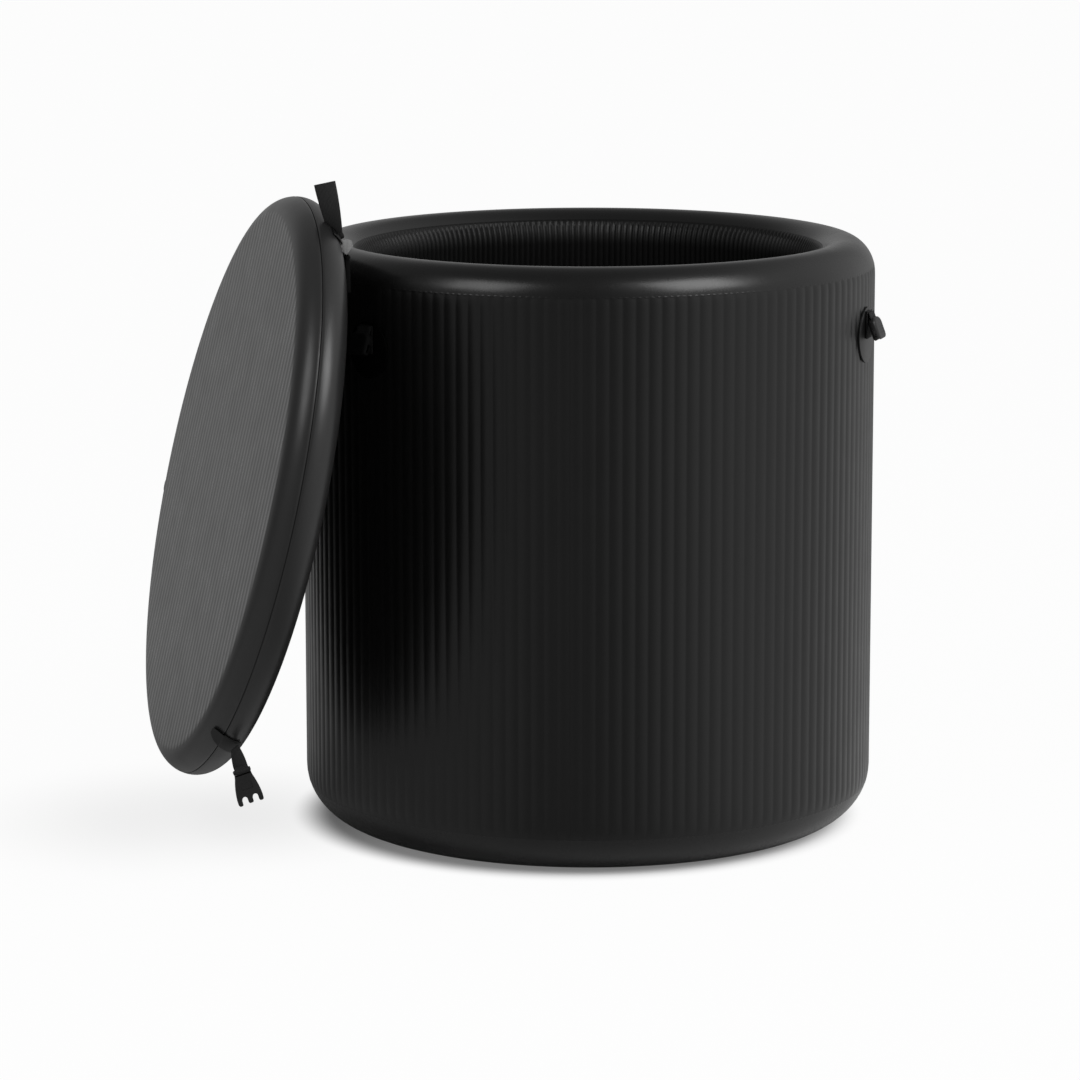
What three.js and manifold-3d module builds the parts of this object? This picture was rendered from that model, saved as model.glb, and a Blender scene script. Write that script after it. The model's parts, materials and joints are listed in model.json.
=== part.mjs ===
// Inflatable cold plunge tub with a loose lid leaning on its rim.
// Millimetres, +Z up, origin at the middle of the underside. The lid leans on the left, at -X.
import * as THREE from 'three';
import { mergeVertices } from 'three/addons/utils/BufferGeometryUtils.js';
import Module from 'manifold-3d';

const wasm = await Module();
wasm.setup();

// Driving dimensions of the tub
const TUB_RADIUS = 375;
const TUB_HEIGHT = 770;
const WALL_THICKNESS = 80;
const RIM_RISE = 46;
const RIM_SEAM_DROP = 34;
const BASE_FILLET = 70;
const BASE_SEAM_HEIGHT = 50;
const SKIN = 2;
const OUTER_RIBS = 144;
const OUTER_RIB_DEPTH = 2;
const INNER_RIBS = 144;
const INNER_RIB_DEPTH = 1;
const FLOOR_THICKNESS = 60;
const BASE_SHEET_THICKNESS = 2;
const WELT_WIDTH = 5;
const WELT_HEIGHT = 0.8;
const CLEARANCE = 0.4;
const ROUND_SEGMENTS = 48;

// Driving dimensions of the lid and of the way it leans
const LID_RADIUS = 376;
const LID_THICKNESS = 66;
const LID_AZIMUTH = 195.4;
const LID_LEAN = 13.5;
const LID_DROP = 282;
const LID_SIDE = 68;
const LID_SEAM_ANGLE = 12;
const LID_TAPE_WIDTH = 14;

// Driving dimensions of the straps, buckles and fastening points
const STRAP_COUNT = 3;
const FIRST_STRAP_ANGLE = 19.3;
const BAND_WIDTH = 30;
const BAND_THICKNESS = 2;
const BAND_FRONT_ANGLES = [-25, 60, 60];
const BAND_BACK_ANGLE = 90;
const STRAP_LEAVE_ANGLES = [62, 8, 90];
const STRAP_TURNS = [90, 0, 0];
const STRAP_LEANS = [0, 16, 0];
const STRAP_STANDS = [4, 2.4, 13];
const WEBBING_WIDTH = 25;
const WEBBING_THICKNESS = 1.8;
const STRAP_DROP = 24;
const TAIL_LENGTH = 71;
const TAIL_LEAN = 16;
const TAIL_FOOT_WIDTH = 6;
const PLUG_WIDTH = 32;
const PLUG_LENGTH = 46;
const PLUG_NECK_LENGTH = 12;
const PLUG_SHOULDER_LENGTH = 27;
const PLUG_SLOT_TOP = 23;
const PLUG_CHAMFER = 2;
const PLUG_THICKNESS = 6;
const SLEEVE_DEPTH = 7;
const PRONG_WIDTH = 6;
const SOCKET_LENGTH = 30;
const SOCKET_WIDTH = 36;
const SOCKET_THICKNESS = 12;
const SOCKET_WALL = 1.6;
const SOCKET_CHAMFER = 4;
const SOCKET_WINDOW_HEIGHT = 3.4;
const SOCKET_AZIMUTH = 343.5;
const SOCKET_BELOW_TOP = 115;
const SOCKET_LEAN = 20;
const PATCH_DIAMETER = 72;
const PATCH_THICKNESS = 2;
const TAB_SEWN_LENGTH = 52;
const TAB_ROOT_HEIGHT = 30;
const TAB_FREE_LENGTH = 13;

// Driving dimensions of the air valves and the drain
const VALVE_AZIMUTH = 60;
const VALVE_BELOW_TOP = 130;
const LID_VALVE_ANGLE = 205;
const LID_VALVE_RADIUS = 270;
const VALVE_FLANGE_RADIUS = 28;
const VALVE_TUBE_RADIUS = 17;
const VALVE_BORE_RADIUS = 13.5;
const VALVE_COLLAR_HEIGHT = 8;
const VALVE_DEPTH = 34;
const VALVE_FLANGE_THICKNESS = 3;
const VALVE_WEB_DEPTH = 18;
const VALVE_WEB_THICKNESS = 3;
const VALVE_STEM_RADIUS = 3.6;
const VALVE_SPRING_RADIUS = 6;
const VALVE_SPRING_WIRE = 0.7;
const VALVE_SPRING_TURNS = 4;
const VALVE_CAP_WALL = 2.2;
const VALVE_CAP_LUG = 6;
const PLUNGER_TRAVEL = 6;
const DRAIN_AZIMUTH = 90;
const DRAIN_ABOVE_FLOOR = 36;
const DRAIN_FLANGE_RADIUS = 28;
const DRAIN_TUBE_RADIUS = 16;
const DRAIN_BORE_RADIUS = 12;
const DRAIN_FLANGE_THICKNESS = 3;
const DRAIN_GASKET_THICKNESS = 2;
const DRAIN_NUT_THICKNESS = 10;
const DRAIN_CAP_LENGTH = 18;
const DRAIN_CAP_WALL = 3;

// Sizes worked out from the driving dimensions
const RAD = Math.PI / 180;
const rimMiddle = TUB_RADIUS - WALL_THICKNESS / 2;
const innerRadius = TUB_RADIUS - WALL_THICKNESS;
const rimStart = TUB_HEIGHT - RIM_RISE;
const seamHeight = TUB_HEIGHT - RIM_SEAM_DROP;
const floorTop = BASE_SHEET_THICKNESS + CLEARANCE + FLOOR_THICKNESS;
const skinBack = SKIN + OUTER_RIB_DEPTH;
const floorRadius = innerRadius + SKIN + INNER_RIB_DEPTH;
const lidHalf = LID_THICKNESS / 2;
const socketHeight = TUB_HEIGHT - SOCKET_BELOW_TOP;
const valveHeight = TUB_HEIGHT - VALVE_BELOW_TOP;

const rimHalfWidth = (z) => (WALL_THICKNESS / 2) * Math.sqrt(1 - ((z - rimStart) / RIM_RISE) ** 2);
const baseRadius = (z) => {
  const up = BASE_FILLET - z;
  return TUB_RADIUS - BASE_FILLET + Math.sqrt(BASE_FILLET ** 2 - up ** 2);
};
const wallFace = (z) => {
  if (z < BASE_FILLET) return baseRadius(z);
  return z > rimStart ? rimMiddle + rimHalfWidth(z) : TUB_RADIUS;
};
const round = (radius) => radius / Math.cos(Math.PI / ROUND_SEGMENTS);

// Shape helpers

// Merges shared corners, drops triangles without area and turns the faces outwards.
function closed(geometry) {
  const bare = geometry.clone();
  for (const name of Object.keys(bare.attributes)) {
    if (name !== 'position') bare.deleteAttribute(name);
  }
  const merged = mergeVertices(bare, 1e-4);
  const place = merged.getAttribute('position');
  const index = merged.getIndex().array;
  const triangles = [];
  let volume = 0;
  const [a, b, c] = [new THREE.Vector3(), new THREE.Vector3(), new THREE.Vector3()];
  for (let i = 0; i < index.length; i += 3) {
    const [p, q, r] = [index[i], index[i + 1], index[i + 2]];
    if (p === q || q === r || r === p) continue;
    triangles.push(p, q, r);
    a.fromBufferAttribute(place, p);
    b.fromBufferAttribute(place, q);
    c.fromBufferAttribute(place, r);
    volume += a.dot(b.cross(c));
  }
  if (volume < 0) triangles.reverse();
  const result = new THREE.BufferGeometry();
  result.setAttribute('position', place);
  result.setIndex(triangles);
  return result;
}

function toSolid(geometry) {
  const clean = closed(geometry);
  return new wasm.Manifold(new wasm.Mesh({
    numProp: 3,
    vertProperties: Float32Array.from(clean.getAttribute('position').array),
    triVerts: Uint32Array.from(clean.getIndex().array),
  }));
}

function fromSolid(solid) {
  const mesh = solid.getMesh();
  const geometry = new THREE.BufferGeometry();
  geometry.setAttribute('position', new THREE.BufferAttribute(Float32Array.from(mesh.vertProperties), 3));
  geometry.setIndex(Array.from(mesh.triVerts));
  return geometry;
}

function cut(geometry, ...tools) {
  return fromSolid(tools.reduce((solid, tool) => solid.subtract(toSolid(tool)), toSolid(geometry)));
}

function join(...geometries) {
  const [first, ...rest] = geometries.map(toSolid);
  return fromSolid(rest.reduce((solid, other) => solid.add(other), first));
}

// Turns an outline of [radius, height] points round the Z axis.
function turned(outline, segments = ROUND_SEGMENTS) {
  const points = outline.map(([r, z]) => new THREE.Vector2(r, z));
  points.push(points[0].clone());
  return closed(new THREE.LatheGeometry(points, segments).rotateX(Math.PI / 2));
}

function disc(radius, low, high, segments = ROUND_SEGMENTS) {
  return turned([[0, low], [radius, low], [radius, high], [0, high]], segments);
}

function box(width, depth, height) {
  return new THREE.BoxGeometry(width, depth, height);
}

// Joins a row of rings, each a list of points, into one solid with flat ends.
function loft(rings) {
  const count = rings[0].length;
  const places = rings.flat().flatMap((p) => [p.x, p.y, p.z]);
  const index = [];
  for (let k = 0; k + 1 < rings.length; k += 1) {
    for (let i = 0; i < count; i += 1) {
      const j = (i + 1) % count;
      const [a, b] = [k * count + i, k * count + j];
      index.push(a, b, b + count, a, b + count, a + count);
    }
  }
  const last = (rings.length - 1) * count;
  for (let i = 1; i + 1 < count; i += 1) {
    index.push(0, i + 1, i, last, last + i, last + i + 1);
  }
  const geometry = new THREE.BufferGeometry();
  geometry.setAttribute('position', new THREE.Float32BufferAttribute(places, 3));
  geometry.setIndex(index);
  return closed(geometry);
}

// A flat strip through places, with its width direction given at each place.
function strip(places, widths, width, thickness) {
  const rings = places.map((place, k) => {
    const before = places[Math.max(k - 1, 0)];
    const after = places[Math.min(k + 1, places.length - 1)];
    const along = after.clone().sub(before).normalize();
    const flat = along.clone().cross(widths[k]).normalize();
    const across = flat.clone().cross(along).normalize();
    const corner = (x, y) => place.clone()
      .addScaledVector(across, (x * width) / 2)
      .addScaledVector(flat, (y * thickness) / 2);
    return [corner(-1, -1), corner(1, -1), corner(1, 1), corner(-1, 1)];
  });
  return loft(rings);
}

// A skin round the Z axis whose ribbed side has many more corners than its plain side.
function ribbedSkin(levels, ribs, depth, ribsOutside) {
  const perSegment = (2 * ribs) / ROUND_SEGMENTS;
  const fineCount = ROUND_SEGMENTS * perSegment;
  const places = [];
  const ringOf = (count, radiusAt, z) => {
    const start = places.length / 3;
    for (let i = 0; i < count; i += 1) {
      const angle = (2 * Math.PI * i) / count - Math.PI / 2;
      places.push(radiusAt(i) * Math.cos(angle), radiusAt(i) * Math.sin(angle), z);
    }
    return start;
  };
  const groove = ribsOutside ? -depth : depth;
  const fine = levels.map(({ z, face }) => ringOf(fineCount, (i) => face + (i % 2 ? 0 : groove), z));
  const plain = levels.map(({ z, back }) => ringOf(ROUND_SEGMENTS, () => back, z));
  const index = [];
  const quads = (low, high, count) => {
    for (let i = 0; i < count; i += 1) {
      const j = (i + 1) % count;
      index.push(low + i, low + j, high + j, low + i, high + j, high + i);
    }
  };
  const reversedQuads = (low, high, count) => quads(high, low, count);
  for (let k = 0; k + 1 < levels.length; k += 1) {
    quads(fine[k], fine[k + 1], fineCount);
    reversedQuads(plain[k], plain[k + 1], ROUND_SEGMENTS);
  }
  const end = (fineStart, plainStart, up) => {
    const add = (a, b, c) => (up ? index.push(a, b, c) : index.push(a, c, b));
    for (let s = 0; s < ROUND_SEGMENTS; s += 1) {
      const [p, q] = [plainStart + s, plainStart + ((s + 1) % ROUND_SEGMENTS)];
      for (let f = 0; f < perSegment; f += 1) {
        const first = s * perSegment + f;
        const next = (first + 1) % fineCount;
        add(p, fineStart + first, fineStart + next);
      }
      add(p, fineStart + (((s + 1) * perSegment) % fineCount), q);
    }
  };
  end(fine[0], plain[0], false);
  end(fine[levels.length - 1], plain[levels.length - 1], true);
  const geometry = new THREE.BufferGeometry();
  geometry.setAttribute('position', new THREE.Float32BufferAttribute(places, 3));
  geometry.setIndex(index);
  return closed(geometry);
}

// Finishes
const finish = {
  skin: { color: 0x1d1e20, roughness: 0.5, metalness: 0 },
  band: { color: 0x222325, roughness: 0.42, metalness: 0 },
  lidFace: { color: 0x303133, roughness: 0.5, metalness: 0 },
  core: { color: 0xd8d8d2, roughness: 0.9, metalness: 0 },
  webbing: { color: 0x1a1a1c, roughness: 0.85, metalness: 0 },
  plastic: { color: 0x19191b, roughness: 0.45, metalness: 0 },
  rubber: { color: 0x101011, roughness: 0.8, metalness: 0 },
  steel: { color: 0xb5b7ba, roughness: 0.3, metalness: 1 },
};

function piece(parent, name, geometry, look) {
  const mesh = new THREE.Mesh(geometry, new THREE.MeshStandardMaterial(finish[look]));
  mesh.name = name;
  parent.add(mesh);
  return mesh;
}

const tub = new THREE.Group();

// Places a group on the wall, with its own Z pointing outwards and its own Y pointing up.
function onWall(azimuth, radius, height) {
  const group = new THREE.Group();
  const out = new THREE.Vector3(Math.cos(azimuth * RAD), Math.sin(azimuth * RAD), 0);
  const up = new THREE.Vector3(0, 0, 1);
  const side = up.clone().cross(out);
  group.quaternion.setFromRotationMatrix(new THREE.Matrix4().makeBasis(side, up, out));
  group.position.copy(out.multiplyScalar(radius)).setZ(height);
  return group;
}

// The shape of a wall hole along a radius, in the tub's own frame.
function wallHole(azimuth, height, holeRadius, from, to) {
  const hole = disc(holeRadius, from, to, 24);
  const place = onWall(azimuth, 0, height);
  place.updateMatrix();
  return hole.applyMatrix4(place.matrix);
}

// Points of the curve from the base seam down to the underside, at a radius from its own centre.
const baseSteps = 4;
const baseArc = (radius) => {
  const start = Math.asin((BASE_FILLET - BASE_SEAM_HEIGHT) / BASE_FILLET);
  const points = [];
  for (let i = 0; i <= baseSteps; i += 1) {
    const angle = start + ((Math.PI / 2 - start) * i) / baseSteps;
    points.push([
      TUB_RADIUS - BASE_FILLET + radius * Math.cos(angle), BASE_FILLET - radius * Math.sin(angle),
    ]);
  }
  return points;
};

// Wall, rim, base and floor
const drainHeight = floorTop + DRAIN_ABOVE_FLOOR;
const valveHole = VALVE_TUBE_RADIUS + CLEARANCE;
const drainHole = DRAIN_TUBE_RADIUS + CLEARANCE;
const valvePocketEnd = TUB_RADIUS - VALVE_DEPTH - 2 * PLUNGER_TRAVEL;
const pastWall = TUB_RADIUS + WALL_THICKNESS;
const drainCut = () => wallHole(DRAIN_AZIMUTH, drainHeight, drainHole, innerRadius / 2, pastWall);
const valveCut = () => wallHole(VALVE_AZIMUTH, valveHeight, valveHole, valvePocketEnd, pastWall);

const outerLevels = [
  BASE_SEAM_HEIGHT + CLEARANCE, BASE_FILLET, rimStart, seamHeight - CLEARANCE,
].map((z) => {
  const face = wallFace(z);
  return { z, face, back: face - skinBack };
});
piece(tub, 'outer_skin', cut(
  ribbedSkin(outerLevels, OUTER_RIBS, OUTER_RIB_DEPTH, true), drainCut(), valveCut(),
), 'skin');

const innerBack = SKIN + INNER_RIB_DEPTH;
const innerLevels = [floorTop + CLEARANCE, rimStart, seamHeight - CLEARANCE].map((z) => {
  const face = rimMiddle - (z > rimStart ? rimHalfWidth(z) : WALL_THICKNESS / 2);
  return { z, face, back: face + innerBack };
});
piece(tub, 'inner_skin', cut(
  ribbedSkin(innerLevels, INNER_RIBS, INNER_RIB_DEPTH, false), drainCut(),
), 'skin');

const coreTop = seamHeight - 2 * CLEARANCE;
const coreOuter = (z) => wallFace(z) - skinBack - CLEARANCE;
const coreInnerTop = rimMiddle - rimHalfWidth(coreTop) + innerBack + CLEARANCE;
const coreInner = innerRadius + innerBack + CLEARANCE;
const coreOutline = [
  [coreInner, BASE_SHEET_THICKNESS + CLEARANCE],
  ...baseArc(BASE_FILLET - skinBack - CLEARANCE).reverse(),
  [coreOuter(BASE_FILLET), BASE_FILLET],
  [coreOuter(rimStart), rimStart],
  [coreOuter(coreTop), coreTop],
  [coreInnerTop, coreTop],
  [coreInner, rimStart],
];
piece(tub, 'drop_stitch_core', cut(turned(coreOutline), drainCut(), valveCut()), 'core');

// The rim band is an arch over the top of the wall, open underneath.
const rimSteps = 6;
const rimArch = (inset) => {
  const points = [];
  const rise = seamHeight - rimStart;
  const start = Math.asin(rise / RIM_RISE);
  for (let i = 0; i <= rimSteps; i += 1) {
    const angle = start + ((Math.PI - 2 * start) * i) / rimSteps;
    const halfWidth = WALL_THICKNESS / 2 - inset;
    const height = RIM_RISE - inset;
    points.push([rimMiddle + halfWidth * Math.cos(angle), rimStart + height * Math.sin(angle)]);
  }
  return points;
};
const archUnder = rimArch(SKIN + CLEARANCE).reverse();
archUnder[0][1] = seamHeight;
archUnder[archUnder.length - 1][1] = seamHeight;
piece(tub, 'rim_band', turned([...rimArch(0), ...archUnder]), 'band');

// A thin welt round the tub at a height, standing on the surface there.
function welt(radius, height) {
  const near = round(radius) + CLEARANCE;
  const far = near + WELT_HEIGHT;
  const half = WELT_WIDTH / 2;
  return turned([
    [near, height - half], [far, height - half / 2], [far, height + half / 2], [near, height + half],
  ]);
}
const rimWeltRadius = rimMiddle + rimHalfWidth(seamHeight - WELT_WIDTH / 2);
piece(tub, 'rim_welt', welt(rimWeltRadius, seamHeight), 'band');
piece(tub, 'base_welt', welt(baseRadius(BASE_SEAM_HEIGHT + WELT_WIDTH / 2), BASE_SEAM_HEIGHT), 'band');

// The base band turns from the wall down to the underside.
const baseInside = baseArc(BASE_FILLET - SKIN).reverse();
baseInside[baseInside.length - 1][1] = BASE_SEAM_HEIGHT;
piece(tub, 'base_band', turned([...baseArc(BASE_FILLET), ...baseInside]), 'band');
piece(tub, 'base_sheet', disc(TUB_RADIUS - BASE_FILLET - CLEARANCE, 0, BASE_SHEET_THICKNESS), 'skin');
piece(tub, 'floor_panel', disc(floorRadius, BASE_SHEET_THICKNESS + CLEARANCE, floorTop), 'skin');

// The lid in its own frame: Z is the normal of its outward face, X points up its slope.
const lean = LID_LEAN * RAD;
const lidOut = new THREE.Vector3(Math.cos(LID_AZIMUTH * RAD), Math.sin(LID_AZIMUTH * RAD), 0);
const lidNormal = lidOut.clone().multiplyScalar(Math.cos(lean)).setZ(Math.sin(lean));
const lidUp = lidOut.clone().multiplyScalar(-Math.sin(lean)).setZ(Math.cos(lean));
const lidLeft = lidNormal.clone().cross(lidUp);
const reach = Math.hypot((WALL_THICKNESS / 2) * Math.cos(lean), RIM_RISE * Math.sin(lean));
const touchRadius = rimMiddle + ((WALL_THICKNESS / 2) ** 2 * Math.cos(lean)) / reach;
const touchHeight = rimStart + (RIM_RISE ** 2 * Math.sin(lean)) / reach;
const lid = new THREE.Group();
lid.quaternion.setFromRotationMatrix(new THREE.Matrix4().makeBasis(lidUp, lidLeft, lidNormal));
const weltOut = round(rimWeltRadius) + CLEARANCE + WELT_HEIGHT - touchRadius;
const weltUp = seamHeight + WELT_WIDTH / 4 - touchHeight;
const weltStands = weltOut * Math.cos(lean) + weltUp * Math.sin(lean);
lid.position.copy(lidOut.clone().multiplyScalar(touchRadius).setZ(touchHeight))
  .addScaledVector(lidNormal, Math.max(weltStands, 0) + CLEARANCE + lidHalf)
  .addScaledVector(lidUp, -LID_DROP)
  .addScaledVector(lidLeft, -LID_SIDE);
lid.updateMatrixWorld(true);
tub.add(lid);

const edgeMiddle = LID_RADIUS - lidHalf;
const faceRadius = edgeMiddle - CLEARANCE;
const lidValveTurn = -LID_VALVE_ANGLE * RAD;
const lidValvePlace = new THREE.Vector3(
  LID_VALVE_RADIUS * Math.cos(lidValveTurn), LID_VALVE_RADIUS * Math.sin(lidValveTurn), 0,
);
const lidPocket = disc(valveHole, -LID_THICKNESS, -lidHalf + VALVE_DEPTH + 2 * PLUNGER_TRAVEL, 24)
  .translate(lidValvePlace.x, lidValvePlace.y, 0);
const coreHalf = lidHalf - SKIN - CLEARANCE;
piece(lid, 'lid_outward_face', disc(faceRadius, lidHalf - SKIN, lidHalf), 'lidFace');
piece(lid, 'lid_tub_side_face', cut(disc(faceRadius, -lidHalf, -lidHalf + SKIN), lidPocket), 'lidFace');
piece(lid, 'lid_core', cut(disc(faceRadius, -coreHalf, coreHalf), lidPocket), 'core');

// The rounded edge, in two bands that meet at the seam.
function edgeBand(fromAngle, toAngle, outside, inside, steps) {
  const arc = (radius) => {
    const points = [];
    for (let i = 0; i <= steps; i += 1) {
      const angle = (fromAngle + ((toAngle - fromAngle) * i) / steps) * RAD;
      points.push([edgeMiddle + radius * Math.cos(angle), radius * Math.sin(angle)]);
    }
    return points;
  };
  return turned([...arc(outside), ...arc(inside).reverse()]);
}
const seamGap = (CLEARANCE / lidHalf) / RAD;
piece(lid, 'lid_edge_front', edgeBand(LID_SEAM_ANGLE, 90, lidHalf, lidHalf - SKIN, 4), 'band');
piece(lid, 'lid_edge_back', edgeBand(-90, LID_SEAM_ANGLE - seamGap, lidHalf, lidHalf - SKIN, 5), 'band');
const tapeOutside = lidHalf - SKIN - 3 * CLEARANCE;
const tapeHalf = LID_TAPE_WIDTH / 2 / tapeOutside / RAD;
piece(lid, 'lid_seam_tape', edgeBand(
  LID_SEAM_ANGLE - tapeHalf, LID_SEAM_ANGLE + tapeHalf, tapeOutside, tapeOutside - SKIN / 2, 1,
), 'skin');

// Air valve: Z points out of the chamber, with zero on the skin's surface.
function airValve(parent, prefix) {
  const collarTop = VALVE_FLANGE_THICKNESS + VALVE_COLLAR_HEIGHT;
  const webLow = -VALVE_WEB_DEPTH - VALVE_WEB_THICKNESS;
  const stemHole = VALVE_STEM_RADIUS + CLEARANCE;
  const seat = CLEARANCE;
  piece(parent, `${prefix}_valve_body`, turned([
    [VALVE_BORE_RADIUS, -VALVE_DEPTH], [VALVE_TUBE_RADIUS, -VALVE_DEPTH], [VALVE_TUBE_RADIUS, seat],
    [VALVE_FLANGE_RADIUS, seat], [VALVE_FLANGE_RADIUS, VALVE_FLANGE_THICKNESS],
    [VALVE_TUBE_RADIUS, VALVE_FLANGE_THICKNESS], [VALVE_TUBE_RADIUS, collarTop],
    [VALVE_BORE_RADIUS, collarTop], [VALVE_BORE_RADIUS, -VALVE_WEB_DEPTH],
    [stemHole, -VALVE_WEB_DEPTH], [stemHole, webLow], [VALVE_BORE_RADIUS, webLow],
  ], 24), 'plastic');

  const headRadius = VALVE_BORE_RADIUS - 2 * CLEARANCE;
  const springTop = -VALVE_FLANGE_THICKNESS;
  const headTop = 0;
  const sealTop = webLow - CLEARANCE;
  const sealThickness = VALVE_WEB_THICKNESS;
  piece(parent, `${prefix}_valve_plunger`, turned([
    [0, sealTop - sealThickness], [headRadius, sealTop - sealThickness], [headRadius, sealTop],
    [VALVE_STEM_RADIUS, sealTop], [VALVE_STEM_RADIUS, springTop], [headRadius, springTop],
    [headRadius, headTop], [0, headTop],
  ], 16), 'rubber');

  const springLow = -VALVE_WEB_DEPTH + CLEARANCE + VALVE_SPRING_WIRE;
  const springHigh = springTop - CLEARANCE - VALVE_SPRING_WIRE;
  const stepsPerTurn = 8;
  const sides = 5;
  const rings = [];
  for (let i = 0; i <= VALVE_SPRING_TURNS * stepsPerTurn; i += 1) {
    const turn = (2 * Math.PI * i) / stepsPerTurn;
    const z = springLow + ((springHigh - springLow) * i) / (VALVE_SPRING_TURNS * stepsPerTurn);
    const ring = [];
    for (let s = 0; s < sides; s += 1) {
      const side = (2 * Math.PI * s) / sides;
      const r = VALVE_SPRING_RADIUS + VALVE_SPRING_WIRE * Math.cos(side);
      ring.push(new THREE.Vector3(
        r * Math.cos(turn), r * Math.sin(turn), z + VALVE_SPRING_WIRE * Math.sin(side),
      ));
    }
    rings.push(ring);
  }
  piece(parent, `${prefix}_valve_spring`, loft(rings), 'steel');

  // The skirt widens to its mouth, so that it clears the collar as the cap tips up.
  const capInside = VALVE_TUBE_RADIUS + CLEARANCE;
  const capMouth = capInside + 2 * CLEARANCE;
  const capOutside = capInside + VALVE_CAP_WALL;
  const capLow = VALVE_FLANGE_THICKNESS + CLEARANCE;
  const capRoof = collarTop + CLEARANCE;
  const shell = turned([
    [capOutside, capLow], [capOutside, capRoof + VALVE_CAP_WALL], [0, capRoof + VALVE_CAP_WALL],
    [0, capRoof], [capInside, capRoof], [capMouth, capLow],
  ], 24);
  const lugLength = VALVE_CAP_LUG + VALVE_CAP_WALL / 2;
  const lug = box(VALVE_CAP_LUG * 2, lugLength, VALVE_CAP_WALL);
  lug.translate(0, capOutside + VALVE_CAP_LUG - lugLength / 2, capLow + VALVE_CAP_WALL / 2);
  piece(parent, `${prefix}_valve_cap`, join(shell, lug), 'plastic');
}
const wallValve = onWall(VALVE_AZIMUTH, TUB_RADIUS, valveHeight);
tub.add(wallValve);
airValve(wallValve, 'wall');
const lidValve = new THREE.Group();
lidValve.position.copy(lidValvePlace).setZ(-lidHalf);
lidValve.quaternion.setFromRotationMatrix(new THREE.Matrix4().makeBasis(
  new THREE.Vector3(0, 1, 0), new THREE.Vector3(1, 0, 0), new THREE.Vector3(0, 0, -1),
));
lid.add(lidValve);
airValve(lidValve, 'lid');

// Drain: Z points out of the wall, with zero on the outside of the wall.
const drain = onWall(DRAIN_AZIMUTH, TUB_RADIUS, drainHeight);
tub.add(drain);
const sagitta = (radius, width) => radius - Math.sqrt(radius ** 2 - width ** 2);
const flangeFace = -WALL_THICKNESS - sagitta(innerRadius, DRAIN_FLANGE_RADIUS) - 2 * CLEARANCE;
const gasketLow = CLEARANCE;
const nutLow = gasketLow + DRAIN_GASKET_THICKNESS + CLEARANCE;
const nutHigh = nutLow + DRAIN_NUT_THICKNESS;
const capLow = nutHigh + CLEARANCE;
const tubeEnd = capLow + DRAIN_CAP_LENGTH - DRAIN_CAP_WALL - CLEARANCE;
const looseTube = DRAIN_TUBE_RADIUS + CLEARANCE;
piece(drain, 'drain_fitting', turned([
  [DRAIN_BORE_RADIUS, flangeFace - DRAIN_FLANGE_THICKNESS],
  [DRAIN_FLANGE_RADIUS, flangeFace - DRAIN_FLANGE_THICKNESS], [DRAIN_FLANGE_RADIUS, flangeFace],
  [DRAIN_TUBE_RADIUS, flangeFace], [DRAIN_TUBE_RADIUS, tubeEnd], [DRAIN_BORE_RADIUS, tubeEnd],
], 24), 'plastic');
const flatRing = (outer, low, high, segments) => turned([
  [looseTube, low], [outer, low], [outer, high], [looseTube, high],
], segments);
piece(drain, 'drain_gasket', flatRing(DRAIN_FLANGE_RADIUS - DRAIN_CAP_WALL, gasketLow,
  gasketLow + DRAIN_GASKET_THICKNESS, 24), 'rubber');
piece(drain, 'drain_nut', cut(
  disc(DRAIN_FLANGE_RADIUS, nutLow, nutHigh, 8), disc(looseTube, 0, pastWall, 24),
), 'plastic');
piece(drain, 'drain_cap', turned([
  [looseTube + DRAIN_CAP_WALL, capLow], [looseTube + DRAIN_CAP_WALL, capLow + DRAIN_CAP_LENGTH],
  [0, capLow + DRAIN_CAP_LENGTH], [0, capLow + DRAIN_CAP_LENGTH - DRAIN_CAP_WALL],
  [looseTube, capLow + DRAIN_CAP_LENGTH - DRAIN_CAP_WALL], [looseTube, capLow],
], 24), 'plastic');

// Buckle halves in their own frame: X across, Y through, Z up, with zero at the top of the sleeve.
function extruded(outline, thickness) {
  const shape = new THREE.Shape(outline.map(([x, y]) => new THREE.Vector2(x, y)));
  const geometry = new THREE.ExtrudeGeometry(shape, { depth: thickness, bevelEnabled: false });
  return closed(geometry.translate(0, 0, -thickness / 2).rotateX(Math.PI / 2));
}
const sleeveHole = () => box(
  WEBBING_WIDTH + 2 * CLEARANCE, WEBBING_THICKNESS + 2 * CLEARANCE, 2 * SLEEVE_DEPTH,
);

function bucklePlug() {
  const half = PLUG_WIDTH / 2;
  const middle = PRONG_WIDTH / 2;
  const neck = WEBBING_WIDTH / 2 + SOCKET_WALL;
  const arm = half - PRONG_WIDTH;
  const slotSide = PLUG_SLOT_TOP + PLUG_CHAMFER;
  const right = [
    [neck, 0], [neck, -PLUG_NECK_LENGTH], [half, -PLUG_SHOULDER_LENGTH],
    [half, -PLUG_LENGTH + PLUG_CHAMFER], [half - PLUG_CHAMFER, -PLUG_LENGTH],
    [arm, -PLUG_LENGTH], [arm, -slotSide],
    [arm - PLUG_CHAMFER, -PLUG_SLOT_TOP], [middle + PLUG_CHAMFER, -PLUG_SLOT_TOP],
    [middle, -slotSide], [middle, -PLUG_LENGTH],
  ];
  const left = right.map(([x, y]) => [-x, y]).reverse();
  return cut(extruded([...right, ...left], PLUG_THICKNESS), sleeveHole());
}

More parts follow.
